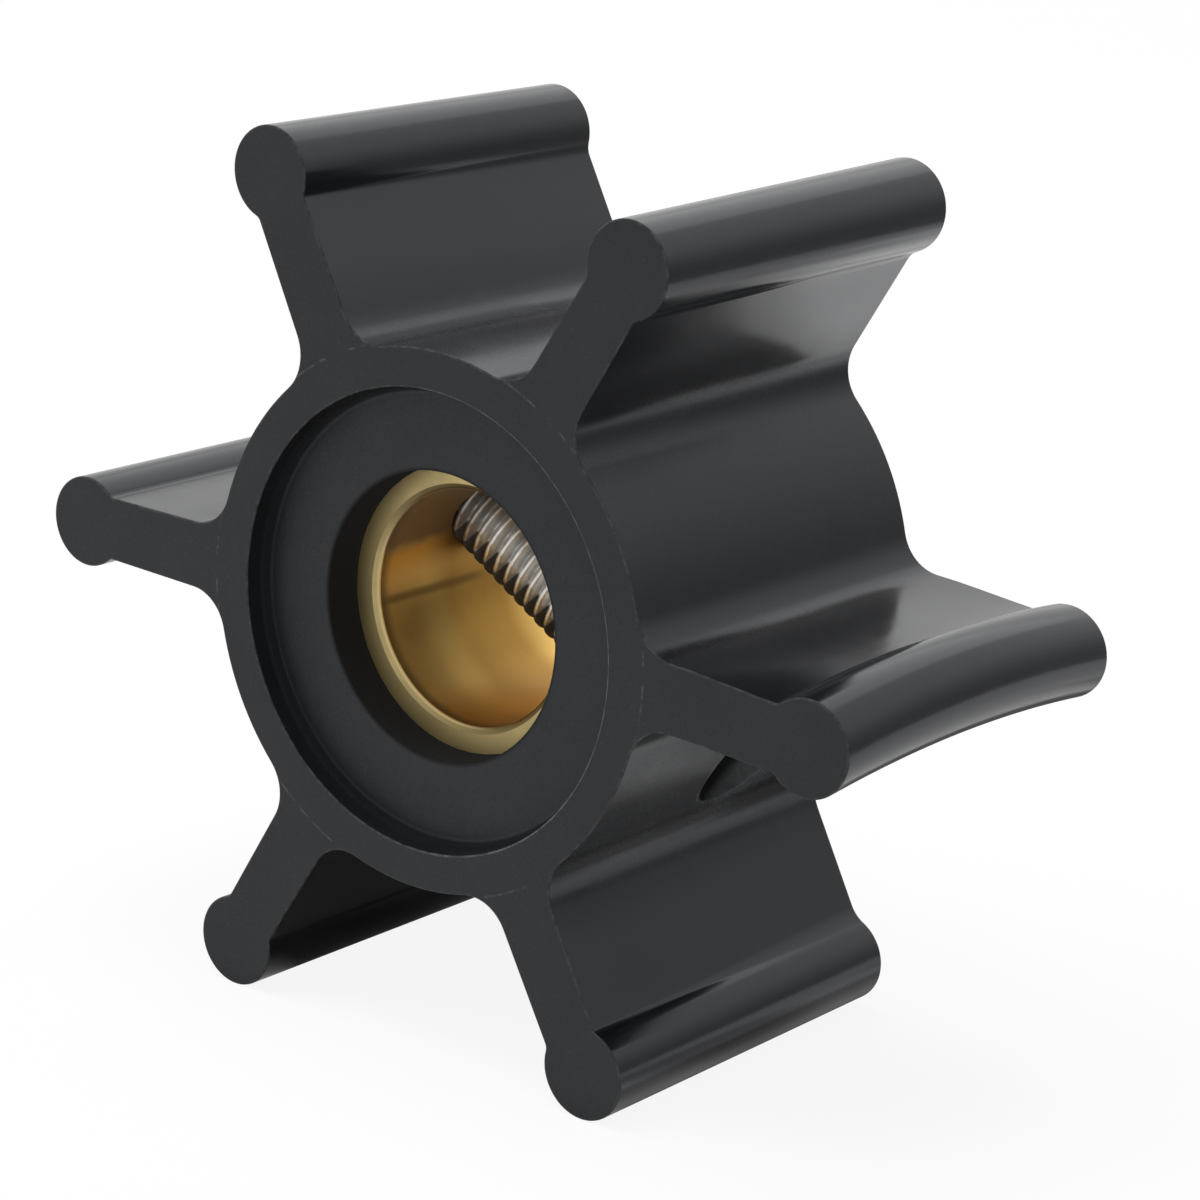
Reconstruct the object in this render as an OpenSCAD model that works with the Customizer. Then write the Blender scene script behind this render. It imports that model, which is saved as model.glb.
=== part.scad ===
// Six-vane flexible pump impeller: a rubber hub and vanes moulded in one piece round a brass insert,
// with a drive screw across the insert's bore.
// The shaft runs along Y, the front end faces -Y, and the impeller stands on its two lowest vanes.

/* [Overall] */
// Diameter over the vane tips
tip_d = 51; // [47:0.5:58]
// Width of the hub and vanes along the shaft
body_w = 22; // [18:0.5:28]
// Number of vanes
vane_count = 6; // [5:1:7]

/* [Hub] */
// Outer diameter of the hub
hub_d = 27.2; // [26:0.1:28.6]
// Rubber between the recess in each end and the outside of the hub
rim_wall = 2; // [1.5:0.1:2.5]
// Depth of the recess in each end of the hub
recess_depth = 1.35; // [0.8:0.05:2]
// Radius in the bottom corner of the recess
recess_corner_r = 0.5; // [0.2:0.1:0.7]
// Radius where a vane runs into the hub
root_r = 2.3; // [1.2:0.1:2.8]

/* [Vanes] */
// Thickness of a vane where it leaves the hub
vane_root_t = 3.5; // [2.8:0.1:4]
// Thickness of a vane where it meets its bulb
vane_tip_t = 3.25; // [2.4:0.05:3.6]
// Diameter of the bulb along the tip of a vane
bulb_d = 4.75; // [4.2:0.05:5.4]

/* [Set of the vanes] */
// Bow of the right vane's bulb between its two ends
right_vane_bow = 0.6; // [0.2:0.1:1.2]
// Lean of the upper left vane towards its right neighbour, in degrees
left_vane_lean = 1.5; // [0:0.1:4]
// Drop of the front end of the upper right vane's bulb
front_corner_drop = 0.6; // [0:0.1:1]

/* [Insert] */
// Bore for the pump shaft
bore_d = 12; // [11:0.1:13]
// Wall of the insert
insert_wall = 2.6; // [2.2:0.1:3]
// Distance from the end of the hub to the end of the insert
insert_inset = 3.5; // [2.8:0.1:4.5]
// Rubber that laps over the end of the insert
end_lap = 1.3; // [0.8:0.1:1.8]
// Chamfer at each end of the bore
bore_chamfer = 0.3; // [0.1:0.05:0.6]
// Depth of the two grooves that key the insert into the rubber
key_groove_depth = 0.5; // [0.3:0.1:0.8]
// Width of each key groove
key_groove_w = 1.5; // [1:0.1:2]

/* [Drive screw] */
// Outer diameter of the screw
screw_d = 5; // [4:0.1:5.4]
// Depth of the screw's outer end below the outside of the insert
screw_sink = 0.5; // [0.1:0.1:0.8]
// Length of screw in the far wall of the insert
screw_bite = 1.6; // [1:0.1:1.8]
// Chamfer at each end of the screw
screw_chamfer = 0.5; // [0.2:0.1:0.8]
// Width of the driver slot
slot_w = 0.8; // [0.6:0.1:1.2]
// Depth of the driver slot
slot_depth = 1.4; // [0.8:0.1:1.8]
// Clearance round the screw in the insert
screw_gap = 0.02; // [0.01:0.01:0.1]
// Clearance past the inner end of the screw
screw_end_gap = 0.3; // [0.1:0.1:0.4]
// Clearance round the screw's access hole in the rubber
access_gap = 0.1; // [0.05:0.05:0.4]

/* [Hidden] */
$fn = 96;
arc_steps = 6;
// How far a cut runs past a face, and how far joined shapes are sunk into each other
cut_through = 1;
overlap = 0.4;
// How far a root fillet is sunk past tangency, so that it crosses the web and the hub
fillet_sink = 0.005;

hub_r = hub_d / 2;
recess_r = hub_r - rim_wall;
bulb_r = bulb_d / 2;
bulb_at = tip_d / 2 - bulb_r;
bore_r = bore_d / 2;
insert_r = bore_r + insert_wall;
insert_len = body_w - 2 * insert_inset;
window_r = insert_r - end_lap;
key_groove_at = insert_len / 4;
screw_r = screw_d / 2;
screw_hole_r = screw_r + screw_gap;
screw_top = insert_r - screw_sink;
screw_end = -(bore_r + screw_bite);
access_r = screw_r + access_gap;

// The vanes are numbered anticlockwise from the lower right one, as seen from the front
lower_right = 0;
right = 1;
upper_right = 2;
upper_left = 3;
vane_step = 360 / vane_count;
screw_angle = vane_angle(lower_right) + vane_step / 2;

// The bowed bulb is an arc whose middle stands out from the vane's plane and whose ends fall back
bow_r = (pow(body_w / 2, 2) + pow(right_vane_bow, 2)) / (2 * right_vane_bow);
bow_middle = 0.4 * right_vane_bow;
bow_stations = 24;
bow_half_angle = asin((body_w / 2 + cut_through) / bow_r);

// Two of the vanes point down, one on each side, so that the impeller stands on them
function vane_angle(i) = -90 + vane_step / 2 + i * vane_step;
function lean(i) = i == upper_left ? -left_vane_lean : 0;

// Half of a vane's thickness at a distance from the shaft
function half_web(x) =
    (vane_root_t + (vane_tip_t - vane_root_t) * (x - hub_r) / (bulb_at - hub_r)) / 2;

function unit(v) = v / norm(v);
function arc(centre, r, from, to, steps) =
    [for (s = [0:steps]) let (a = from + (to - from) * s / steps) centre + r * [cos(a), sin(a)]];

// Centre of the root fillet between the upper edge of the web and the outside of the hub
web_start = [hub_r, half_web(hub_r)];
web_along = unit([bulb_at, half_web(bulb_at)] - web_start);
web_out = [-web_along.y, web_along.x];
fillet_reach = root_r - fillet_sink;
fillet_line = web_start + fillet_reach * web_out;
fillet_shift = sqrt(pow(fillet_line * web_along, 2) - fillet_line * fillet_line + pow(hub_r + fillet_reach, 2));
fillet_centre = fillet_line + (fillet_shift - fillet_line * web_along) * web_along;

// Sideways place of the bowed bulb's centre line, and of the web's middle beyond its straight root
bend_at = fillet_centre.x + overlap / 2;
function bow_line(z) = bow_middle + sqrt(bow_r * bow_r - z * z) - bow_r;
function bow_at(x, z) = bow_line(z) * (x - bend_at) / (bulb_at - bend_at);

module along_shaft() {
    rotate([90, 0, 0]) children();
}

// The fillet on the upper side of a vane's root, from inside the web to inside the hub
module root_fillet() {
    in_web = fillet_centre - (root_r + overlap) * web_out;
    in_hub = fillet_centre - (root_r + overlap) * unit(fillet_centre);
    difference() {
        polygon([fillet_centre, in_hub, [hub_r - overlap, 0], in_web]);
        translate(fillet_centre) circle(root_r);
    }
}

// The flat web of a vane, pointing along +X, as far as a distance from the shaft
module web_plan(to) {
    from = hub_r - overlap;
    polygon([
        [from, -half_web(from)], [to, -half_web(to)],
        [to, half_web(to)], [from, half_web(from)]
    ]);
}

// The web of the bowed vane beyond its straight root, lofted through sections across the shaft
module bowed_web() {
    corners = [[bend_at, -1], [bulb_at, -1], [bulb_at, 1], [bend_at, 1]];
    loft([for (s = [0:bow_stations]) let (z = body_w * (s / bow_stations - 0.5))
        [for (c = corners) [c.x, bow_at(c.x, z) + c.y * half_web(c.x), z]]]);
}

// A closed solid through rings of points that run anticlockwise round +Z, from the lowest ring up
module loft(rings) {
    n = len(rings[0]);
    top = len(rings) - 1;
    polyhedron(
        points = [for (ring = rings) each ring],
        faces = concat(
            [[for (k = [0:n - 1]) k]],
            [[for (k = [n - 1:-1:0]) top * n + k]],
            [for (s = [0:top - 1], k = [0:n - 1]) let (a = s * n + k, b = s * n + (k + 1) % n)
                each [[a, a + n, b], [b, a + n, b + n]]]
        )
    );
}

module bowed_bulb() {
    translate([bulb_at, bow_middle - bow_r, 0])
        rotate([90, 0, 90])
            rotate_extrude(angle = 2 * bow_half_angle, start = -bow_half_angle, $fn = 720)
                translate([bow_r, 0]) circle(bulb_r, $fn = 64);
}

// A bulb whose front end is nearer the shaft than its back end
module dropped_bulb() {
    length = body_w + 2 * cut_through;
    translate([bulb_at - front_corner_drop / 2, 0, 0])
        rotate([0, -atan(front_corner_drop / body_w), 0])
            cylinder(r = bulb_r, h = length, center = true);
}

module between_end_faces() {
    intersection() {
        children();
        cube([2 * tip_d, 2 * tip_d, body_w], center = true);
    }
}

// Hub and vanes before the ends are hollowed, with the shaft along Z
module moulding() {
    linear_extrude(body_w, center = true) {
        circle(hub_r);
        for (i = [0:vane_count - 1]) rotate(vane_angle(i) + lean(i)) {
            root_fillet();
            mirror([0, 1]) root_fillet();
            web_plan(i == right ? bend_at : bulb_at - front_corner_drop);
            if (i != right && i != upper_right) translate([bulb_at, 0]) circle(bulb_r);
        }
    }
    between_end_faces() {
        rotate(vane_angle(upper_right)) dropped_bulb();
        rotate(vane_angle(right)) bowed_bulb();
    }
    rotate(vane_angle(right)) bowed_web();
}

// Recess and shaft window in the end that faces +Z, down to the insert
module end_hollow() {
    floor_z = body_w / 2 - recess_depth;
    corner = [recess_r - recess_corner_r, floor_z + recess_corner_r];
    rotate_extrude() polygon(concat(
        [[0, insert_len / 2], [window_r, insert_len / 2], [window_r, floor_z]],
        arc(corner, recess_corner_r, -90, 0, arc_steps),
        [[recess_r, body_w / 2 + cut_through], [0, body_w / 2 + cut_through]]
    ));
}

// Outside of the insert, with its two key grooves, and the shape it leaves in the rubber
module insert_outside() {
    half = insert_len / 2;
    groove_r = insert_r - key_groove_depth;
    rotate_extrude() polygon([
        [0, -half], [insert_r, -half],
        for (at = [-key_groove_at, key_groove_at]) each [
            [insert_r, at - key_groove_w / 2], [groove_r, at - key_groove_w / 2],
            [groove_r, at + key_groove_w / 2], [insert_r, at + key_groove_w / 2]
        ],
        [insert_r, half], [0, half]
    ]);
}

// Places its children's +Z along the drive screw, pointing out of the access hole
module along_screw() {
    rotate(screw_angle) rotate([0, 90, 0]) children();
}

module rubber_body() {
    color("#2f3133") along_shaft() difference() {
        moulding();
        end_hollow();
        mirror([0, 0, 1]) end_hollow();
        insert_outside();
        along_screw() cylinder(r = access_r, h = hub_r + cut_through);
    }
}

module brass_insert() {
    half = insert_len / 2;
    color("#9c7c3a") along_shaft() difference() {
        insert_outside();
        rotate_extrude() polygon([
            [0, -half - cut_through], [bore_r + bore_chamfer + cut_through, -half - cut_through],
            [bore_r, -half + bore_chamfer], [bore_r, half - bore_chamfer],
            [bore_r + bore_chamfer + cut_through, half + cut_through], [0, half + cut_through]
        ]);
        along_screw() translate([0, 0, screw_end - screw_end_gap])
            cylinder(r = screw_hole_r, h = insert_r + cut_through - screw_end + screw_end_gap);
    }
}

module drive_screw() {
    tip_r = screw_r - screw_chamfer;
    color("#b5aea0") along_shaft() along_screw() difference() {
        rotate_extrude() polygon([
            [0, screw_end], [tip_r, screw_end], [screw_r, screw_end + screw_chamfer],
            [screw_r, screw_top - screw_chamfer], [tip_r, screw_top], [0, screw_top]
        ]);
        translate([-screw_d, -slot_w / 2, screw_top - slot_depth])
            cube([2 * screw_d, slot_w, slot_depth + cut_through]);
    }
}

rubber_body();
brass_insert();
drive_screw();
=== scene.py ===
"""Looks of the rubber pump impeller: moulded rubber, turned brass insert, threaded drive screw.

Lengths are in millimetres until a mesh or a node needs metres. The shaft lies along Y with the
front end at -Y, and outlines lie in X and Z.
"""

import math
from functools import reduce

import bmesh
import bpy
from mathutils import Matrix, Vector
from mathutils.geometry import delaunay_2d_cdt


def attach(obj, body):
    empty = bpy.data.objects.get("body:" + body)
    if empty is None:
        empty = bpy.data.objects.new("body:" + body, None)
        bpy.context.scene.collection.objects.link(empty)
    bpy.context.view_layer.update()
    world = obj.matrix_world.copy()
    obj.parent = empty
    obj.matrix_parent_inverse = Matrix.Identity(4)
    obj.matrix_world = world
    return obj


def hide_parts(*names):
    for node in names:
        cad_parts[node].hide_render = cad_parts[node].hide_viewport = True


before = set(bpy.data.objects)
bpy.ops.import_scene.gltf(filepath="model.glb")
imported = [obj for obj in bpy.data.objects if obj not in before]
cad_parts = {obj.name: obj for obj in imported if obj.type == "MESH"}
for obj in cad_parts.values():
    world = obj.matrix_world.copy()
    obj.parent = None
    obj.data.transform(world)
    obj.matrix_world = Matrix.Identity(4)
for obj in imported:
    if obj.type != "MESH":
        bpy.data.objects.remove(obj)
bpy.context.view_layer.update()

MM = 0.001

# Sizes of the object, as in the solids
TIP_R = 25.5
BODY_W = 22.0
HALF_W = BODY_W / 2
HUB_R = 13.6
RECESS_R = 11.6
RECESS_DEPTH = 1.35
RECESS_CORNER = 0.5
ROOT_R = 2.3
VANE_ROOT_T = 3.5
VANE_TIP_T = 3.25
BULB_R = 2.375
BULB_AT = TIP_R - BULB_R
INSERT_R = 8.6
BORE_R = 6.0
INSERT_LEN = 15.0
WINDOW_R = 7.3
KEY_AT = INSERT_LEN / 4
KEY_W = 1.5
KEY_DEPTH = 0.5
ACCESS_R = 2.6
SCREW_R = 2.5
SCREW_TOP = 8.1
SCREW_END = -7.6
SCREW_DIR = Vector((math.cos(math.radians(-30)), 0, math.sin(math.radians(-30))))
SLOT_W = 0.8
SLOT_DEPTH = 1.4
FLOOR_Z = -22.4

# The vanes, counted anticlockwise, and what sets three of them apart
VANE_COUNT = 6
LOWER_RIGHT, RIGHT, UPPER_RIGHT, UPPER_LEFT = 0, 1, 2, 3
LEFT_LEAN = 1.5
RIGHT_BOW = 0.6
BOW_R = (HALF_W ** 2 + RIGHT_BOW ** 2) / (2 * RIGHT_BOW)
BOW_MIDDLE = 0.4 * RIGHT_BOW
BEND_LENGTH = 7.5
BEND_POWER = 0.8
CORNER_DROP = 0.6
DROP_FROM, DROP_TO = 18.0, 21.5

# Details that only the looks carry: rounded edges, with a narrow strip beside each that keeps the
# shading of the flat faces flat, and the notch where a web meets its bulb
EDGE_R = 0.09
STRIP = 0.04
NOTCH_R = 0.5
# By how much the notch opens out towards the back, as photographed: (vane, upper side)
NOTCH_OPENS = {(LOWER_RIGHT, True): 1.3, (RIGHT, True): 0.5,
               (UPPER_RIGHT, True): 0.5, (UPPER_RIGHT, False): 0.5,
               (UPPER_LEFT, True): 0.5, (UPPER_LEFT, False): 0.5}

# The screw's thread, with the widths of its root and its flanks as shares of half a pitch
PITCH = 0.8
THREAD_DEPTH = 0.46
ROOT_SHARE, FLANK_SHARE = 0.10, 0.68
SCREW_CHAMFER = 0.5

# How finely curves are divided
BULB_STEPS, NOTCH_STEPS, WEB_STEPS, ROOT_STEPS, HUB_STEPS = 22, 6, 5, 12, 14
WIDTH_STEPS = 26
EDGE_STEPS = 4
CORNER_STEPS = 6
RECESS_SIDES = 192
ACCESS_SIDES = 64
SCREW_SIDES, PITCH_STEPS = 64, 14

# Edges sharper than this many degrees stay sharp in the shading
RUBBER_SHARP, THREAD_SHARP = 36, 50

# Material slots of the rubber, in order
MOULDED, GROUND, EDGE, CUT = 0, 1, 2, 3


# ---------------------------------------------------------------- shapes in the plane

def rot(p, deg):
    c, s = math.cos(math.radians(deg)), math.sin(math.radians(deg))
    return Vector((c * p[0] - s * p[1], s * p[0] + c * p[1]))


def polar(centre, r, a):
    return Vector((centre[0] + r * math.cos(a), centre[1] + r * math.sin(a)))


def arc(centre, r, start, end, steps):
    """Points of an arc, both ends included."""
    return [polar(centre, r, start + (end - start) * k / steps) for k in range(steps + 1)]


def smooth(x, a, b):
    t = min(1.0, max(0.0, (x - a) / (b - a)))
    return t * t * (3 - 2 * t)


def half_web(x):
    return (VANE_ROOT_T + (VANE_TIP_T - VANE_ROOT_T) * (x - HUB_R) / (BULB_AT - HUB_R)) / 2


WEB_START = Vector((HUB_R, half_web(HUB_R)))
WEB_ALONG = (Vector((BULB_AT, half_web(BULB_AT))) - WEB_START).normalized()
WEB_OUT = Vector((-WEB_ALONG.y, WEB_ALONG.x))


def root_centre():
    """Centre of the fillet between the upper side of a web and the hub."""
    line = WEB_START + ROOT_R * WEB_OUT
    off = line.dot(WEB_ALONG)
    reach = math.sqrt(off ** 2 - line.length_squared + (HUB_R + ROOT_R) ** 2)
    return line + (reach - off) * WEB_ALONG


ROOT_AT = root_centre()
ROOT_ANGLE = math.atan2(ROOT_AT.y, ROOT_AT.x)
BEND_AT = ROOT_AT.x + 0.2


def half_section(inset, notch_r):
    """Upper half of a vane's outline, from the tip to the hub, moved inwards by inset."""
    bulb = Vector((BULB_AT, 0))
    line = WEB_START + notch_r * WEB_OUT
    away = (bulb - line).dot(WEB_OUT)
    along = (bulb - line).dot(WEB_ALONG) - math.sqrt((BULB_R + notch_r) ** 2 - away ** 2)
    notch = line + along * WEB_ALONG
    meet = math.atan2((notch - bulb).y, (notch - bulb).x)
    web_down = math.atan2(-WEB_OUT.y, -WEB_OUT.x)
    points = arc(bulb, BULB_R - inset, 0, meet, BULB_STEPS)[:-1]
    points += arc(notch, notch_r + inset, meet - math.pi, web_down, NOTCH_STEPS)[:-1]
    a = polar(notch, notch_r + inset, web_down)
    b = polar(ROOT_AT, ROOT_R + inset, web_down)
    points += [a.lerp(b, k / WEB_STEPS) for k in range(WEB_STEPS)]
    points += arc(ROOT_AT, ROOT_R + inset, web_down, ROOT_ANGLE - math.pi, ROOT_STEPS)
    return points


def notch_radius(vane, y, upper):
    back = (y + HALF_W) / BODY_W
    return NOTCH_R + NOTCH_OPENS.get((vane, upper), 0.0) * smooth(back, 0.2, 1.0)


def vane_angle(i):
    return -60 + 60 * i - (LEFT_LEAN if i == UPPER_LEFT else 0)


def vane_outline(i, y, inset):
    """Outline of one vane at width y, anticlockwise from its lower root to its upper root."""
    lower = half_section(inset, notch_radius(i, y, False))
    upper = half_section(inset, notch_radius(i, y, True))
    section = [Vector((p.x, -p.y)) for p in reversed(lower[1:])] + upper
    if i == RIGHT:
        bow = BOW_MIDDLE + math.sqrt(BOW_R ** 2 - y ** 2) - BOW_R
        for p in section:
            p.y += bow * smooth(p.x, BEND_AT, BEND_AT + BEND_LENGTH) ** BEND_POWER
    if i == UPPER_RIGHT:
        drop = CORNER_DROP * (HALF_W - y) / BODY_W
        for p in section:
            p.x -= drop * smooth(p.x, DROP_FROM, DROP_TO)
    return [rot(p, vane_angle(i)) for p in section]


def outline(y, inset):
    """The whole outline at width y, anticlockwise from the front, moved inwards by inset."""
    points = []
    for i in range(VANE_COUNT):
        points += vane_outline(i, y, inset)
        full_turn = 360 if i == VANE_COUNT - 1 else 0
        first = math.radians(vane_angle(i)) + ROOT_ANGLE
        last = math.radians(vane_angle((i + 1) % VANE_COUNT) + full_turn) - ROOT_ANGLE
        points += arc((0, 0), HUB_R - inset, first, last, HUB_STEPS)[1:-1]
    return points


# ---------------------------------------------------------------- objects

def place(p, y):
    """A point of an outline at width y, in metres."""
    return Vector((p[0] * MM, y * MM, p[1] * MM))


def new_object(name, bm, materials):
    mesh = bpy.data.meshes.new(name)
    bm.to_mesh(mesh)
    bm.free()
    obj = bpy.data.objects.new(name, mesh)
    bpy.context.scene.collection.objects.link(obj)
    for m in materials:
        mesh.materials.append(m)
    return obj


def to_screw():
    """The turn that takes Z to the drive screw's direction."""
    return Vector((0, 0, 1)).rotation_difference(SCREW_DIR).to_matrix().to_4x4()


def cut(obj, bm, materials):
    """Takes the shape in bm away from an object, which keeps its materials."""
    cutter = new_object("cutter", bm, [])
    mod = obj.modifiers.new("cut", "BOOLEAN")
    mod.operation, mod.solver, mod.object = "DIFFERENCE", "EXACT", cutter
    solved = obj.evaluated_get(bpy.context.evaluated_depsgraph_get())
    mesh = bpy.data.meshes.new_from_object(solved)
    obj.modifiers.clear()
    obj.data = mesh
    bpy.data.objects.remove(cutter)
    index = [f.material_index for f in mesh.polygons]
    mesh.materials.clear()
    for m in materials:
        mesh.materials.append(m)
    mesh.polygons.foreach_set("material_index", index)
    return mesh


def shade_smooth(mesh, sharp_from):
    mesh.polygons.foreach_set("use_smooth", [True] * len(mesh.polygons))
    mesh.set_sharp_from_angle(angle=math.radians(sharp_from))


# ---------------------------------------------------------------- nodes

def rgb(r, g, b):
    return (r, g, b, 1.0)


def grey(level):
    return rgb(level, level, level)


class Graph:
    """A node tree, with short names for the nodes that the materials use."""

    def __init__(self, tree):
        self.nodes, self.links = tree.nodes, tree.links

    def put(self, socket, value):
        """Links a socket to another one, or sets its value."""
        if isinstance(value, bpy.types.NodeSocket):
            self.links.new(value, socket)
        else:
            socket.default_value = value

    def feed(self, node, **inputs):
        """Puts values on a node's inputs by name, with _ for a space."""
        for name, value in inputs.items():
            self.put(node.inputs[name.replace("_", " ")], value)
        return node

    def add(self, kind, **inputs):
        return self.feed(self.nodes.new("ShaderNode" + kind), **inputs)

    def shade(self, **inputs):
        self.feed(self.nodes["Principled BSDF"], **inputs)

    def math(self, op, a, b=0.0):
        n = self.add("Math")
        n.operation = op
        self.put(n.inputs[0], a)
        self.put(n.inputs[1], b)
        return n.outputs[0]

    def times(self, *values):
        return reduce(lambda a, b: self.math("MULTIPLY", a, b), values)

    def plus(self, *values):
        return reduce(lambda a, b: self.math("ADD", a, b), values)

    def minus(self, a, b):
        return self.math("SUBTRACT", a, b)

    def most(self, *values):
        return reduce(lambda a, b: self.math("MAXIMUM", a, b), values)

    def hypot(self, a, b):
        return self.math("SQRT", self.plus(self.times(a, a), self.times(b, b)))

    def ramp(self, value, a, b, low=0.0, high=1.0, kind="SMOOTHSTEP"):
        """low up to a and high from b on, with a smooth step between them."""
        n = self.add("MapRange", Value=value, From_Min=a, From_Max=b, To_Min=low, To_Max=high)
        n.interpolation_type = kind
        return n.outputs["Result"]

    def band(self, value, centre, half, soft):
        """1 where value is within half of centre, 0 beyond soft more."""
        off = self.math("ABSOLUTE", self.minus(value, centre))
        return self.ramp(off, half, half + soft, 1.0, 0.0)

    def mix(self, fac, a, b):
        n = self.add("Mix")
        n.data_type = "RGBA"
        return self.feed(n, Factor=fac, A=a, B=b).outputs["Result"]

    def mix_shaders(self, fac, a, b):
        n = self.add("MixShader")
        for socket, value in zip(n.inputs, (fac, a, b)):
            self.put(socket, value)
        return n.outputs[0]

    def where(self):
        return self.add("TexCoord").outputs["Object"]

    def split(self):
        """X, Y and Z of a point in metres."""
        return self.add("SeparateXYZ", Vector=self.where()).outputs

    def along(self, dx, dz):
        """How far a point lies along a direction in the plane of the outline."""
        x, _, z = self.split()
        return self.plus(self.times(x, dx), self.times(z, dz))

    def radius(self):
        """Distance from the shaft's axis in millimetres."""
        x, _, z = self.split()
        return self.times(self.hypot(x, z), 1 / MM)

    def from_screw(self):
        """Distance from the drive screw's axis in millimetres."""
        x, y, z = self.split()
        along = self.along(SCREW_DIR.x, SCREW_DIR.z)
        in_plane = self.minus(self.plus(self.times(x, x), self.times(z, z)),
                              self.times(along, along))
        off = self.math("SQRT", self.plus(self.most(in_plane, 0.0), self.times(y, y)))
        return self.times(off, 1 / MM)

    def turn(self):
        """Angle round the shaft in degrees: 0 at the left, 90 at the top, -90 at the bottom.

        It jumps from 180 to -180 at the right.
        """
        x, _, z = self.split()
        return self.times(self.math("ARCTAN2", z, self.times(x, -1.0)), 180 / math.pi)

    def noise(self, size, detail=3.0, rough=0.55, stretch=(1, 1, 1)):
        """Noise whose features measure about size, larger where stretch is below 1."""
        scale = tuple(s / (size * MM) for s in stretch)
        scaled = self.add("Mapping", Vector=self.where(), Scale=scale).outputs["Vector"]
        return self.add("TexNoise", Vector=scaled, Scale=1.0, Detail=detail,
                        Roughness=rough).outputs["Fac"]

    def bump(self, height, strength, distance, normal=None):
        n = self.add("Bump", Strength=strength, Distance=distance * MM, Height=height)
        if normal is not None:
            self.put(n.inputs["Normal"], normal)
        return n.outputs["Normal"]


def material(name, **uniform):
    """A material and its graph, with the shader's values that are the same all over."""
    m = bpy.data.materials.new(name)
    m.use_nodes = True
    g = Graph(m.node_tree)
    g.shade(**uniform)
    return m, g


# ---------------------------------------------------------------- materials

RUBBER_IOR = 1.5
RUBBER_TINT = rgb(0.90, 0.94, 1.0)


def rubber_moulded():
    """Moulded rubber: nearly black under its gloss, and duller on the hub than on the vanes."""
    m, g = material("rubber_moulded", IOR=RUBBER_IOR, Specular_Tint=RUBBER_TINT)
    x, y, _ = g.split()
    radius, from_screw = g.radius(), g.from_screw()
    fine = g.noise(0.16, 4.0, 0.6)
    cloud = g.noise(3.2, 3.0, 0.5)
    streak = g.noise(0.55, 3.0, 0.5, (1, 0.05, 1))
    base = g.mix(g.ramp(cloud, 0.3, 0.7),
                 rgb(0.0062, 0.0066, 0.0076), rgb(0.0085, 0.0090, 0.0102))
    specks = g.ramp(g.noise(0.20, 2.0, 0.7), 0.60, 0.76)
    base = g.mix(g.times(specks, 0.2), base, rgb(0.035, 0.037, 0.041))

    # the access hole has a thin pale lip, and round it a painted pale reflection, most of it
    # towards the back
    hole_side = g.ramp(x, 0.0, 2 * MM)
    lip = g.times(g.band(from_screw, ACCESS_R + 0.12, 0.05, 0.10),
                  g.ramp(g.noise(0.6, 3.0, 0.6), 0.4, 0.6), hole_side)
    base = g.mix(g.times(lip, 0.6), base, rgb(0.10, 0.102, 0.104))
    # painted reflection: the hub is paler round the hole, most of all towards the back
    painted_sheen = g.times(g.ramp(from_screw, ACCESS_R + 0.1, ACCESS_R + 3.5, 0.75, 0.0),
                    g.ramp(y, -1 * MM, 2 * MM), hole_side)
    base = g.mix(g.times(painted_sheen, g.ramp(cloud, 0.2, 0.6, 0.6, 1.0)), base,
                 rgb(0.070, 0.073, 0.077))

    rough = g.plus(g.ramp(radius, HUB_R + 1.0, HUB_R + 4.0, 0.26, 0.155),
                   g.ramp(fine, 0.25, 0.75, -0.02, 0.03), g.ramp(cloud, 0.3, 0.7, -0.02, 0.03))
    g.shade(Base_Color=base, Roughness=rough,
            Specular_IOR_Level=g.ramp(radius, HUB_R + 1.5, HUB_R + 4.5, 0.39, 0.475),
            Normal=g.bump(fine, 0.18, 0.006, g.bump(streak, 0.10, 0.02)))
    return m


def rubber_ground():
    """The matt end faces, and the recesses down to the insert."""
    m, g = material("rubber_ground", IOR=RUBBER_IOR, Specular_Tint=RUBBER_TINT)
    radius = g.radius()
    fine = g.noise(0.2, 4.0, 0.6)
    cloud = g.noise(4.0, 3.0, 0.5)
    base = g.mix(g.ramp(cloud, 0.3, 0.7),
                 rgb(0.0070, 0.0074, 0.0082), rgb(0.0095, 0.0100, 0.0110))
    specks = g.ramp(g.noise(0.15, 2.0, 0.7), 0.58, 0.75)
    base = g.mix(g.times(specks, 0.3), base, rgb(0.045, 0.047, 0.050))
    # a faint ring where the hub's edge of the tool met the vanes
    ring = g.times(g.band(radius, HUB_R + 0.12, 0.03, 0.05),
                   g.ramp(g.noise(0.7, 3.0, 0.6), 0.42, 0.62))
    base = g.mix(g.times(ring, 0.5), base, rgb(0.085, 0.087, 0.088))
    # painted shade darkens the recess's corner, and the window, for its shade, is a plain grey
    # without gloss
    corner_shade = g.band(radius, RECESS_R - 0.20, 0.09, 0.17)
    base = g.mix(g.times(corner_shade, 0.4), base, grey(0.003))
    inside = g.ramp(radius, WINDOW_R + 0.05, WINDOW_R + 0.25, 1.0, 0.0)
    base = g.mix(inside, base, grey(0.024))
    dull = g.most(inside, g.times(corner_shade, 0.8))
    g.shade(Base_Color=base, Roughness=g.ramp(fine, 0.25, 0.75, 0.42, 0.56),
            Specular_IOR_Level=g.ramp(dull, 0.0, 1.0, 0.40, 0.0, "LINEAR"),
            Normal=g.bump(fine, 0.35, 0.006))
    return m


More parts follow.
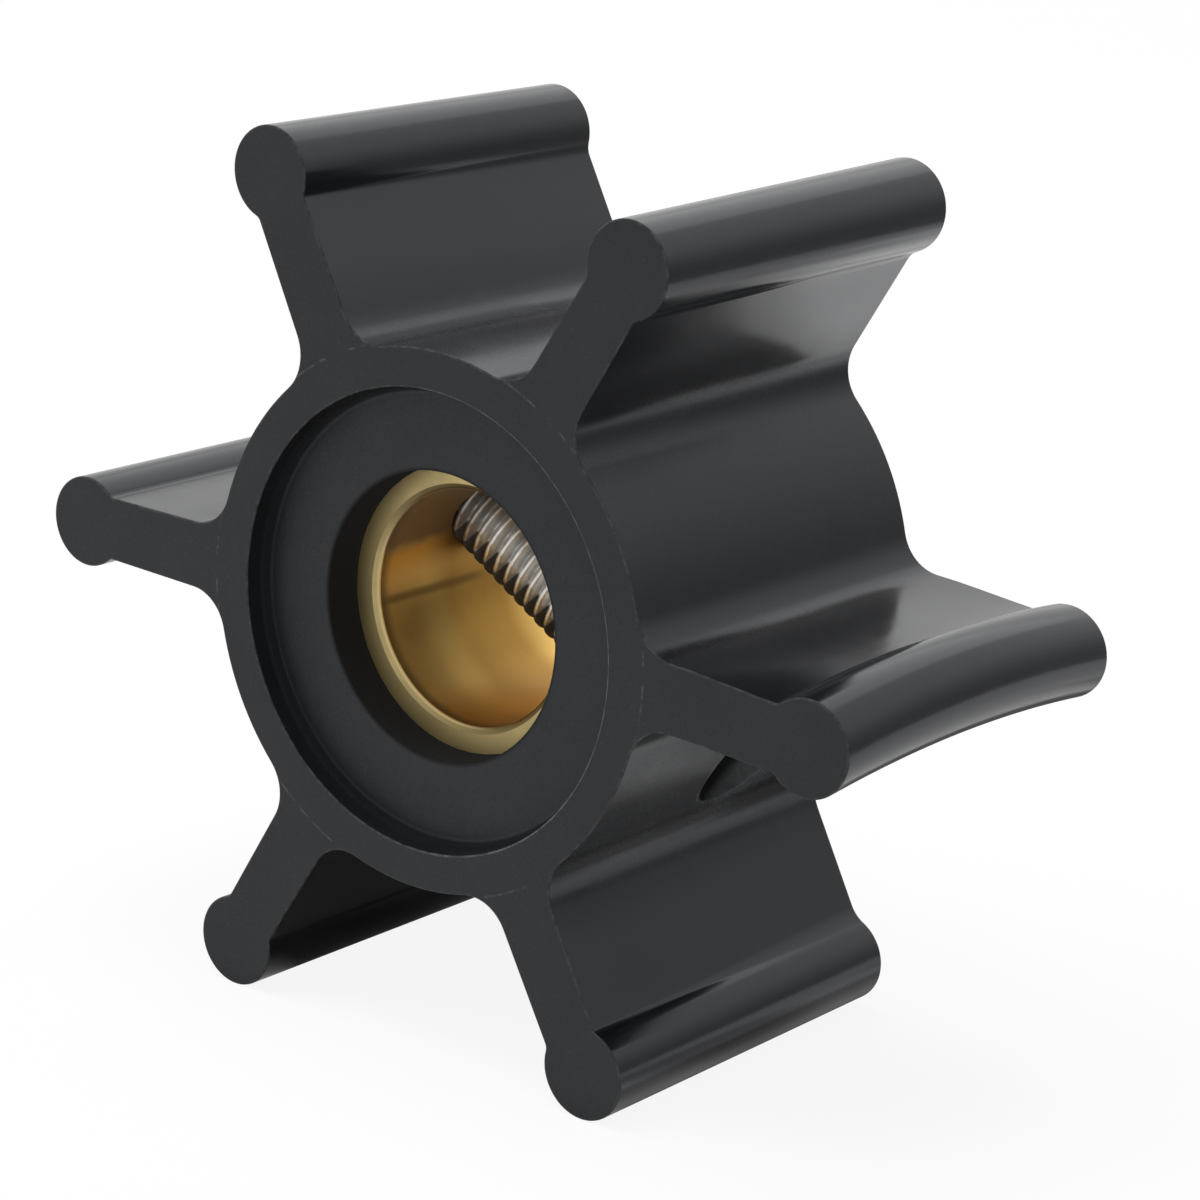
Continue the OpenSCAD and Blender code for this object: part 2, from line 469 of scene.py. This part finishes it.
def rubber_edge():
    """The rounded edges, with traces of flash, and a painted highlight, broken like the flash, on
    the right of the recess's rim.
    """
    m, g = material("rubber_edge", IOR=RUBBER_IOR)
    x, _, _ = g.split()
    radius = g.radius()
    trace = g.ramp(g.noise(0.5, 4.0, 0.7), 0.40, 0.62)
    # a painted highlight along the right of the recess's rim
    rim = g.times(g.band(radius, RECESS_R + 0.05, 0.12, 0.05), g.ramp(x, -4 * MM, 6 * MM))
    base = g.mix(g.times(trace, 0.5), rgb(0.0095, 0.0100, 0.0110), rgb(0.075, 0.078, 0.081))
    base = g.mix(g.times(rim, g.ramp(trace, 0.0, 1.0, 0.25, 0.8)), base, rgb(0.105, 0.108, 0.11))
    window = g.ramp(radius, WINDOW_R + 0.3, WINDOW_R + 0.5, 1.0, 0.0)
    g.shade(Base_Color=g.mix(window, base, grey(0.009)),
            Specular_IOR_Level=g.ramp(window, 0.0, 1.0, 0.36, 0.18),
            Roughness=g.ramp(trace, 0.0, 1.0, 0.48, 0.60),
            Normal=g.bump(g.noise(0.15, 3.0, 0.7), 0.5, 0.01))
    return m


def rubber_cut():
    """The wall of the access hole: painted shade inside, and painted light towards its mouth, most
    at the back.
    """
    m, g = material("rubber_cut", IOR=RUBBER_IOR, Roughness=0.6)
    fine = g.noise(0.3, 3.0, 0.6)
    _, y, _ = g.split()
    # the line between the painted shade and the painted light runs askew to the hole
    out = g.plus(g.along(SCREW_DIR.x - 0.16, SCREW_DIR.z - 0.28), g.times(y, 0.45))
    pale = g.ramp(out, 13.60 * MM, 14.25 * MM)
    base = g.mix(pale, rgb(0.035, 0.036, 0.037), rgb(0.15, 0.155, 0.16))
    base = g.mix(g.ramp(fine, 0.35, 0.75, 0.0, 0.3), base, rgb(0.012, 0.0125, 0.013))
    g.shade(Base_Color=base, Specular_IOR_Level=g.ramp(pale, 0.0, 1.0, 0.0, 0.3),
            Normal=g.bump(fine, 0.4, 0.01))
    return m


def brass():
    """Turned brass: dull end faces, a smoother chamfer, and a redder bore, with painted light and
    shade on all three and a painted dark reflection in the bore.
    """
    m, g = material("brass_turned")
    radius, turn = g.radius(), g.turn()
    _, y, _ = g.split()
    depth = g.times(g.math("ABSOLUTE", y), 1 / MM)
    cloud = g.noise(1.6, 4.0, 0.6)
    clouded = g.ramp(cloud, 0.3, 0.7)
    # the same angle with noise, for painted marks with uneven edges
    uneven = g.plus(turn, g.ramp(g.noise(1.5, 2.0, 0.5), 0.0, 1.0, -3.0, 3.0))
    in_bore = g.ramp(radius, BORE_R + 0.02, BORE_R + 0.06, 1.0, 0.0)
    on_end = g.ramp(radius, BORE_R + 0.10, BORE_R + 0.14)

    # painted light makes the bore brightest towards its mouths, least at the bottom, and it has a
    # dark line on the left
    bore = g.mix(clouded, rgb(0.43, 0.24, 0.050), rgb(0.50, 0.285, 0.064))
    painted_mouth_light = g.times(g.ramp(depth, 1.5, 4.2), g.ramp(turn, -85.0, -60.0, 0.3, 1.0))
    bore = g.mix(painted_mouth_light, bore, rgb(0.86, 0.55, 0.155))
    line = g.times(g.band(turn, -10.5, 0.5, 3.0), g.band(y, -3.3 * MM, 2.8 * MM, 2 * MM))
    bore = g.mix(g.times(line, 0.6), bore, rgb(0.14, 0.085, 0.025))
    # painted shade darkens its first millimetre, and a painted dark reflection, dull brown, covers
    # its upper left
    painted_mouth_shade = g.ramp(depth, INSERT_LEN / 2 - 1.1, INSERT_LEN / 2 - 0.35, 0.0, 0.65)
    bore = g.mix(painted_mouth_shade, bore, rgb(0.12, 0.075, 0.035))
    painted_dark_reflection = g.times(g.ramp(uneven, 10.0, 20.0), g.ramp(uneven, 80.0, 120.0, 1.0, 0.0), 0.9)
    bore = g.mix(painted_dark_reflection, bore, rgb(0.17, 0.102, 0.054))

    # painted shade darkens the chamfer over its upper half
    edge = g.mix(clouded, rgb(0.46, 0.35, 0.165), rgb(0.53, 0.41, 0.20))
    edge = g.mix(g.ramp(uneven, 15.0, 45.0, 0.0, 0.7), edge, rgb(0.17, 0.125, 0.065))

    # painted shade darkens the end faces towards the bottom; they have a dark inner rim, which
    # painted shade makes darkest in its upper half
    end = g.mix(g.ramp(turn, -80.0, -30.0), rgb(0.50, 0.395, 0.182), rgb(0.66, 0.525, 0.25))
    end = g.mix(g.ramp(cloud, 0.3, 0.7, 0.0, 0.3), end, rgb(0.40, 0.315, 0.145))
    rim = g.times(g.ramp(radius, BORE_R + 0.29, BORE_R + 0.33, 1.0, 0.0),
                  g.ramp(uneven, 15.0, 45.0, 0.3, 0.6))
    end = g.mix(rim, end, rgb(0.13, 0.10, 0.05))

    rough = g.plus(g.ramp(in_bore, 0.0, 1.0, 0.30, 0.40), g.ramp(on_end, 0.0, 1.0, 0.0, 0.20),
                   g.ramp(cloud, 0.25, 0.75, -0.03, 0.05))
    painted_dark_reflection_in_bore = g.times(painted_dark_reflection, in_bore)
    # turning marks run round the shaft: by depth in the bore and by radius on the ends
    marks = g.noise(0.07, 2.0, 0.6, (0.03, 1, 0.03))
    g.shade(Base_Color=g.mix(on_end, g.mix(in_bore, edge, bore), end), Roughness=rough,
            Metallic=g.ramp(painted_dark_reflection_in_bore, 0.0, 0.9, 1.0, 0.1, "LINEAR"),
            Specular_IOR_Level=g.ramp(painted_dark_reflection_in_bore, 0.0, 0.9, 0.5, 0.05, "LINEAR"),
            Normal=g.bump(marks, 0.06, 0.003))
    return m


def screw_metal():
    """Steel, dark with painted shade in its thread, on its underside and near its two ends."""
    m, g = material("screw_steel")
    tint = g.ramp(g.noise(0.5, 4.0, 0.6), 0.35, 0.7)
    base = g.mix(tint, rgb(0.83, 0.82, 0.79), rgb(0.68, 0.665, 0.63))
    # painted shade: in the thread's roots, on the underside and near the two ends
    crest = g.ramp(g.from_screw(), SCREW_R - 0.44, SCREW_R, kind="LINEAR")
    root = g.ramp(crest, 0.0, 0.7, 0.4, 0.0)
    down = g.along(SCREW_DIR.z / MM, -SCREW_DIR.x / MM)
    under = g.ramp(g.minus(down, g.times(crest, 0.9)), 0.05, 0.35)
    from_middle = g.math("ABSOLUTE", g.along(SCREW_DIR.x / MM, SCREW_DIR.z / MM))
    painted_screw_shade = g.most(under, root, g.ramp(from_middle, 3.2, 5.4, 0.0, 0.5))
    g.shade(Base_Color=g.mix(g.times(painted_screw_shade, 0.96), base, rgb(0.035, 0.026, 0.017)),
            Metallic=g.ramp(under, 0.0, 1.0, 1.0, 0.2),
            Roughness=g.ramp(painted_screw_shade, 0.0, 1.0, 0.42, 0.55),
            Normal=g.bump(g.noise(0.12, 3.0, 0.6), 0.25, 0.006))
    return m


# ---------------------------------------------------------------- rubber

def rounding():
    """Points of a rounded edge: how far each lies from the sharp corner, across and down."""
    turns = [math.radians(90 * k / EDGE_STEPS) for k in range(EDGE_STEPS + 1)]
    return [(EDGE_R - EDGE_R * math.sin(a), EDGE_R - EDGE_R * math.cos(a)) for a in turns]


def outside_rings():
    """(y, inset) of each ring of the outside, from front to back."""
    strip_end = EDGE_R + STRIP
    front = [(-HALF_W, strip_end)]
    front += [(-HALF_W + down, across) for across, down in rounding()]
    front += [(-HALF_W + strip_end, 0.0)]
    step = (BODY_W - 2 * strip_end) / WIDTH_STEPS
    middle = [(-HALF_W + strip_end + step * k, 0.0) for k in range(1, WIDTH_STEPS)]
    return front + middle + [(-y, inset) for y, inset in reversed(front)]


def inside_profile():
    """(radius, y, slot) of the inside, from the front rim over the insert's seat to the back."""
    floor_y = HALF_W - RECESS_DEPTH
    seat_y = INSERT_LEN / 2
    c = RECESS_CORNER
    key_r = INSERT_R - KEY_DEPTH
    key_from, key_to = KEY_AT + KEY_W / 2, KEY_AT - KEY_W / 2
    corner = [math.radians(90 * k / CORNER_STEPS) for k in range(CORNER_STEPS + 1)]
    half = [(RECESS_R + EDGE_R + STRIP, HALF_W, GROUND)]
    half += [(RECESS_R + across, HALF_W - down, EDGE) for across, down in rounding()]
    half += [(RECESS_R, HALF_W - EDGE_R - STRIP, GROUND)]
    half += [(RECESS_R - c + c * math.cos(a), floor_y + c - c * math.sin(a), GROUND)
             for a in corner]
    half += [(RECESS_R - c - STRIP, floor_y, GROUND), (WINDOW_R + EDGE_R + STRIP, floor_y, GROUND)]
    half += [(WINDOW_R + across, floor_y - down, EDGE) for across, down in rounding()]
    half += [(WINDOW_R, floor_y - EDGE_R - STRIP, GROUND), (WINDOW_R, seat_y, GROUND),
             (INSERT_R, seat_y, GROUND), (INSERT_R, key_from, GROUND), (key_r, key_from, GROUND),
             (key_r, key_to, GROUND), (INSERT_R, key_to, GROUND)]
    return [(r, -y, slot) for r, y, slot in half] + half[::-1]


def end_face(bm, outer, rim):
    """The flat end face between the outline and the recess's rim."""
    inside_only, same_point = 1, 1e-7
    verts = outer + rim
    flat = [Vector((v.co.x / MM, v.co.z / MM)) for v in verts]
    count = len(outer)
    edges = [(k, (k + 1) % count) for k in range(count)]
    edges += [(count + k, count + (k + 1) % len(rim)) for k in range(len(rim))]
    _, _, faces, sources, _, _ = delaunay_2d_cdt(flat, edges, [], inside_only, same_point)
    source = [min(ids) for ids in sources]
    for face in faces:
        corners = [source[k] for k in face]
        if any(k < count for k in corners):
            bm.faces.new([verts[k] for k in corners]).material_index = GROUND


def shell_mesh():
    """The closed surface of the rubber, without its access hole."""
    bm = bmesh.new()
    rings = [[bm.verts.new(place(p, y)) for p in outline(y, inset)]
             for y, inset in outside_rings()]
    spans, around = len(rings) - 1, len(rings[0])
    for k in range(spans):
        from_end = min(k, spans - 1 - k)
        slot = GROUND if from_end == 0 else EDGE if from_end <= EDGE_STEPS else MOULDED
        for j in range(around):
            i = (j + 1) % around
            f = bm.faces.new((rings[k][j], rings[k + 1][j], rings[k + 1][i], rings[k][i]))
            f.material_index = slot

    profile = inside_profile()
    turns = [2 * math.pi * k / RECESS_SIDES for k in range(RECESS_SIDES)]
    bores = [[bm.verts.new(place((r * math.cos(a), r * math.sin(a)), y)) for a in turns]
             for r, y, _ in profile]
    for k in range(len(bores) - 1):
        slot = EDGE if profile[k][2] == profile[k + 1][2] == EDGE else GROUND
        for j in range(RECESS_SIDES):
            i = (j + 1) % RECESS_SIDES
            f = bm.faces.new((bores[k][j], bores[k][i], bores[k + 1][i], bores[k + 1][j]))
            f.material_index = slot

    end_face(bm, rings[0], bores[0])
    end_face(bm, rings[-1], bores[-1])
    bmesh.ops.recalc_face_normals(bm, faces=bm.faces)
    return bm


def access_cutter():
    """A rod from within the insert's wall to outside the hub, in line with the screw."""
    length, middle = 7.0, 11.5
    bm = bmesh.new()
    bmesh.ops.create_cone(bm, cap_ends=True, segments=ACCESS_SIDES, radius1=ACCESS_R * MM,
                          radius2=ACCESS_R * MM, depth=length * MM)
    at = Matrix.Translation(SCREW_DIR * middle * MM) @ to_screw()
    bmesh.ops.transform(bm, matrix=at, verts=bm.verts)
    return bm


def in_access_hole(mesh, face):
    """Whether a face is part of the access hole's wall."""
    near = 0.01
    corners = [mesh.vertices[k].co for k in face.vertices]
    off = [v.cross(SCREW_DIR).length / MM for v in corners]
    return face.center.dot(SCREW_DIR) > 0 and all(abs(d - ACCESS_R) < near for d in off)


rubber_materials = [rubber_moulded(), rubber_ground(), rubber_edge(), rubber_cut()]
shell = new_object("rubber_shell", shell_mesh(), rubber_materials)
mesh = cut(shell, access_cutter(), rubber_materials)
for face in mesh.polygons:
    if in_access_hole(mesh, face):
        face.material_index = CUT
shade_smooth(mesh, RUBBER_SHARP)
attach(shell, "root")
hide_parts("rubber_body")

# ---------------------------------------------------------------- brass insert

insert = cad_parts["brass_insert"]
insert.data.materials.clear()
insert.data.materials.append(brass())


# ---------------------------------------------------------------- drive screw

def thread_radius(z, turn):
    """Radius of the screw at height z and at turn, from 0 to 1 round it."""
    phase = (z / PITCH - turn) % 1.0
    tooth = abs(phase - 0.5) * 2            # 0 at the root's middle, 1 at the crest's
    rise = min(1.0, max(0.0, (tooth - ROOT_SHARE) / FLANK_SHARE))
    from_end = min(z - SCREW_END, SCREW_TOP - z)
    return min(SCREW_R - THREAD_DEPTH + THREAD_DEPTH * rise, SCREW_R - SCREW_CHAMFER + from_end)


def screw_mesh():
    """A headless screw with a real helical thread, along +Z, from SCREW_END to SCREW_TOP."""
    bm = bmesh.new()
    length = SCREW_TOP - SCREW_END
    count = int(round(length / (PITCH / PITCH_STEPS)))
    rings = []
    for k in range(count + 1):
        z = SCREW_END + length * k / count
        ring = []
        for j in range(SCREW_SIDES):
            a = 2 * math.pi * j / SCREW_SIDES
            r = thread_radius(z, j / SCREW_SIDES)
            ring.append(bm.verts.new((r * math.cos(a) * MM, r * math.sin(a) * MM, z * MM)))
        rings.append(ring)
    for k in range(count):
        for j in range(SCREW_SIDES):
            i = (j + 1) % SCREW_SIDES
            bm.faces.new((rings[k][j], rings[k][i], rings[k + 1][i], rings[k + 1][j]))
    bm.faces.new(rings[0][::-1])
    bm.faces.new(rings[-1])
    bmesh.ops.recalc_face_normals(bm, faces=bm.faces)
    return bm


def slot_cutter():
    """A bar across the screw's top end, longer than the screw is wide, for the driver's slot."""
    bm = bmesh.new()
    bmesh.ops.create_cube(bm, size=1.0)
    size = Vector((4 * SCREW_R, SLOT_W, 2 * SLOT_DEPTH)) * MM
    bmesh.ops.scale(bm, vec=size, verts=bm.verts)
    bmesh.ops.translate(bm, vec=Vector((0, 0, SCREW_TOP * MM)), verts=bm.verts)
    return bm


steel = screw_metal()
screw = new_object("screw_thread", screw_mesh(), [steel])
mesh = cut(screw, slot_cutter(), [steel])
mesh.transform(to_screw())
shade_smooth(mesh, THREAD_SHARP)
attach(screw, "root")
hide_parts("drive_screw")

# ---------------------------------------------------------------- camera

# Fitted to points on the object in the photo, with its angles in degrees
SENSOR, LENS = 36.0, 115.315
CAMERA_AT = Vector((115.782, -146.427, 55.934))
CAMERA_AZIMUTH, CAMERA_DOWN, CAMERA_ROLL = 37.753, 16.932, 3.518

scene = bpy.context.scene
scene.view_settings.view_transform = "Standard"

cam = bpy.data.objects.new("camera", bpy.data.cameras.new("camera"))
scene.collection.objects.link(cam)
cam.data.sensor_width = SENSOR
cam.data.lens = LENS
cam.data.clip_start = 10 * MM
cam.location = CAMERA_AT * MM
cam.rotation_mode = "QUATERNION"
cam.rotation_quaternion = (Matrix.Rotation(math.radians(CAMERA_AZIMUTH), 3, "Z")
                           @ Matrix.Rotation(math.radians(90 - CAMERA_DOWN), 3, "X")
                           @ Matrix.Rotation(math.radians(CAMERA_ROLL), 3, "Z")).to_quaternion()
scene.camera = cam

# ---------------------------------------------------------------- white world and floor

WHITE = grey(1.0)
AMBIENT = 0.35
FLOOR_HALF = 1.5                # metres
FLOOR_WHITE = 0.9               # the rest of what the camera sees there is the lit floor
CARD_AZIMUTH = 38               # degrees from straight behind the object, to the right


def white_share(g, camera, mirror):
    """How much plain white camera rays see, and how much mirror and glass rays see."""
    rays = g.add("LightPath").outputs
    glass = g.most(rays["Is Glossy Ray"], rays["Is Transmission Ray"])
    return g.most(g.times(rays["Is Camera Ray"], camera), g.times(glass, mirror))


world = bpy.data.worlds.new("studio")
scene.world = world
world.use_nodes = True
world.node_tree.nodes.clear()
g = Graph(world.node_tree)
ambient = g.add("Background", Color=WHITE, Strength=AMBIENT).outputs[0]
plain = g.add("Background", Color=WHITE, Strength=1.0).outputs[0]
g.add("OutputWorld", Surface=g.mix_shaders(white_share(g, 1.0, 1.0), ambient, plain))


def floor_in_mirrors(g):
    """How pale the floor glows in reflections: a painted reflection, with painted shade under the
    object, that stands for the studio round the real object.

    It is pale in front and far out, and dark under the object and behind it. The smaller patches
    lie where the photo's rubber mirrors something lighter or darker. Places are in millimetres.
    """
    x, y, _ = g.split()

    def pool(at_x, at_y, inner, outer, middle, rest):
        """A round patch: middle up to inner from its centre, and rest from outer on."""
        away = g.hypot(g.minus(x, at_x * MM), g.minus(y, at_y * MM))
        return g.ramp(away, inner * MM, outer * MM, middle, rest)

    def step(value, a, b, low=0.0, high=1.0):
        return g.ramp(value, a * MM, b * MM, low, high)

    dark_middle = pool(6, 16, 30, 46, 0.0, 0.93)
    pale_behind = pool(20, 85, 34, 41, 1.0, 0.0)
    faint_behind = step(y, 0, 15, 0.05, 0.14)
    pale_front = step(y, -14, -6, 0.9, 0.0)
    right = g.times(step(x, 18, 22), step(y, 36, 46, 1.0, 0.0))
    far_right = g.times(step(x, 30, 36), step(y, 44, 54, 1.0, 0.0))
    near_right = g.times(g.plus(step(x, 12, 14, 0.0, 0.5), step(x, 15.8, 17.2, 0.0, 0.5)),
                         step(y, 16.5, 21.5, 1.0, 0.0))
    pale = g.most(dark_middle, pale_behind, faint_behind, pale_front, right, far_right, near_right)
    pale = g.times(pale, pool(20, 2, 4, 9.5, 0.55, 1.0), pool(34, 63, 5, 12, 0.5, 1.0))
    # towards the card it turns about as grey as the card's foot
    azimuth = math.radians(CARD_AZIMUTH)
    to_card = g.plus(g.times(x, math.sin(azimuth)), g.times(y, math.cos(azimuth)))
    return g.mix(step(to_card, 112, 134), pale, grey(0.38))


floor_material, g = material("floor_white", Base_Color=grey(0.9), Roughness=0.9,
                             Specular_IOR_Level=0.0)
in_mirror = g.add("LightPath").outputs["Is Glossy Ray"]
glow = g.add("Emission", Color=g.mix(in_mirror, WHITE, floor_in_mirrors(g)), Strength=1.0)
surface = g.mix_shaders(white_share(g, FLOOR_WHITE, 1.0),
                        g.nodes["Principled BSDF"].outputs[0], glow.outputs[0])
g.put(g.nodes["Material Output"].inputs["Surface"], surface)

bm = bmesh.new()
bmesh.ops.create_grid(bm, x_segments=1, y_segments=1, size=FLOOR_HALF)
bmesh.ops.translate(bm, vec=(0, 0, FLOOR_Z * MM), verts=bm.verts)
floor = new_object("floor", bm, [floor_material])


# ---------------------------------------------------------------- card and lamps, in metres

def card(name, azimuth, distance, width, height, stops, fade):
    """A standing card that only reflections show: grey by height, and white towards its sides.

    stops holds (share of the height, grey). fade holds where the white ends on the left, from
    full to none, and where it begins on the right.
    """
    bm = bmesh.new()
    bmesh.ops.create_grid(bm, x_segments=1, y_segments=1, size=0.5)
    bmesh.ops.scale(bm, vec=(width, height, 1), verts=bm.verts)
    upright = Matrix.Rotation(math.pi / 2, 3, "X")
    bmesh.ops.rotate(bm, cent=(0, 0, 0), matrix=upright, verts=bm.verts)
    bmesh.ops.translate(bm, vec=(0, distance, height / 2 + FLOOR_Z * MM), verts=bm.verts)

    m = bpy.data.materials.new(name)
    m.use_nodes = True
    m.node_tree.nodes.clear()
    g = Graph(m.node_tree)
    x, _, z = g.split()
    shades = g.add("ValToRGB", Fac=g.math("DIVIDE", g.minus(z, FLOOR_Z * MM), height))
    colours = shades.color_ramp
    colours.interpolation = "B_SPLINE"
    for k, (at, level) in enumerate(stops):
        e = colours.elements[k] if k < 2 else colours.elements.new(at)
        e.position, e.color = at, grey(level)
    sides = g.most(g.ramp(x, fade[0], fade[1], 1.0, 0.0), g.ramp(x, fade[2], fade[3]))
    glow = g.add("Emission", Color=g.mix(sides, shades.outputs["Color"], WHITE), Strength=1.0)
    g.add("OutputMaterial", Surface=glow.outputs[0])

    obj = new_object(name, bm, [m])
    obj.rotation_euler = (0, 0, -math.radians(azimuth))
    obj.visible_camera = False
    obj.visible_diffuse = False
    obj.visible_shadow = False


def lamp(name, direction, distance, size, watts, in_mirrors):
    """A square lamp that faces the origin."""
    data = bpy.data.lights.new(name, "AREA")
    data.shape = "SQUARE"
    data.size = size
    data.energy = watts
    obj = bpy.data.objects.new(name, data)
    scene.collection.objects.link(obj)
    d = Vector(direction).normalized()
    obj.location = d * distance
    obj.rotation_mode = "QUATERNION"
    obj.rotation_quaternion = d.to_track_quat("Z", "Y")
    obj.visible_glossy = in_mirrors
    return obj


card("grey_card_back", CARD_AZIMUTH, distance=0.60, width=1.5, height=0.42,
     stops=[(0.0, 0.40), (0.18, 0.45), (0.38, 0.65), (0.57, 0.83), (0.80, 1.0)],
     fade=(-0.75, -0.35, 0.45, 0.75))

lamp("key_top", (-0.2, -0.1, 1.0), distance=1.1, size=0.8, watts=9.0, in_mirrors=False)
lamp("fill_left", (-0.85, -0.55, 0.5), distance=1.2, size=0.8, watts=5.0, in_mirrors=False)
lamp("back_left", (-0.26, 0.68, 0.68), distance=1.0, size=0.65, watts=0.65, in_mirrors=True)

# a small disc behind the object, close above the floor, that faces upwards
low = lamp("back_low", (0.0, 0.0, -1.0), distance=-FLOOR_Z * MM - 0.002, size=0.045,
           watts=0.0028, in_mirrors=True)
low.location.x, low.location.y = 0.022, 0.074
low.data.shape = "DISK"
low.visible_camera = False
